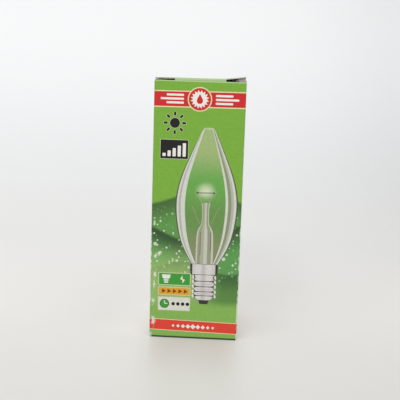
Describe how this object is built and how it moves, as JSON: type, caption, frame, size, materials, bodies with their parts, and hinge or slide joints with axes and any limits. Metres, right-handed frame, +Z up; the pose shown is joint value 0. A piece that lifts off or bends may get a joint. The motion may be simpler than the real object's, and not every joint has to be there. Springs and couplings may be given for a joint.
{
  "type": "lamp carton",
  "caption": "Tall square folding carton for a candle lamp, with a tuck-in lid at the top and the bottom, dust flaps under the lids and a glued seam.",
  "frame": {"origin": "middle of the base, on the surface that the carton stands on", "axes": "+Z up along the carton, -Y out of the front panel, +X to the right as the front panel is seen"},
  "size_m": [0.037, 0.037, 0.1102],
  "materials": {
    "printed_board": "satin"
  },
  "bodies": {
    "carton": {"carton_body": "printed_board"},
    "top_lid": {"top_lid": "printed_board"},
    "bottom_lid": {"bottom_lid": "printed_board"}
  },
  "joints": [
    {"name": "top_lid_hinge", "type": "hinge", "parent": "carton", "child": "top_lid", "pos_m": [0, 0.0183, 0.1082], "axis": [-1, 0, 0], "range_deg": [0, 180]},
    {"name": "bottom_lid_hinge", "type": "hinge", "parent": "carton", "child": "bottom_lid", "pos_m": [0, -0.0183, 0.0002], "axis": [-1, 0, 0], "range_deg": [0, 180]}
  ]
}
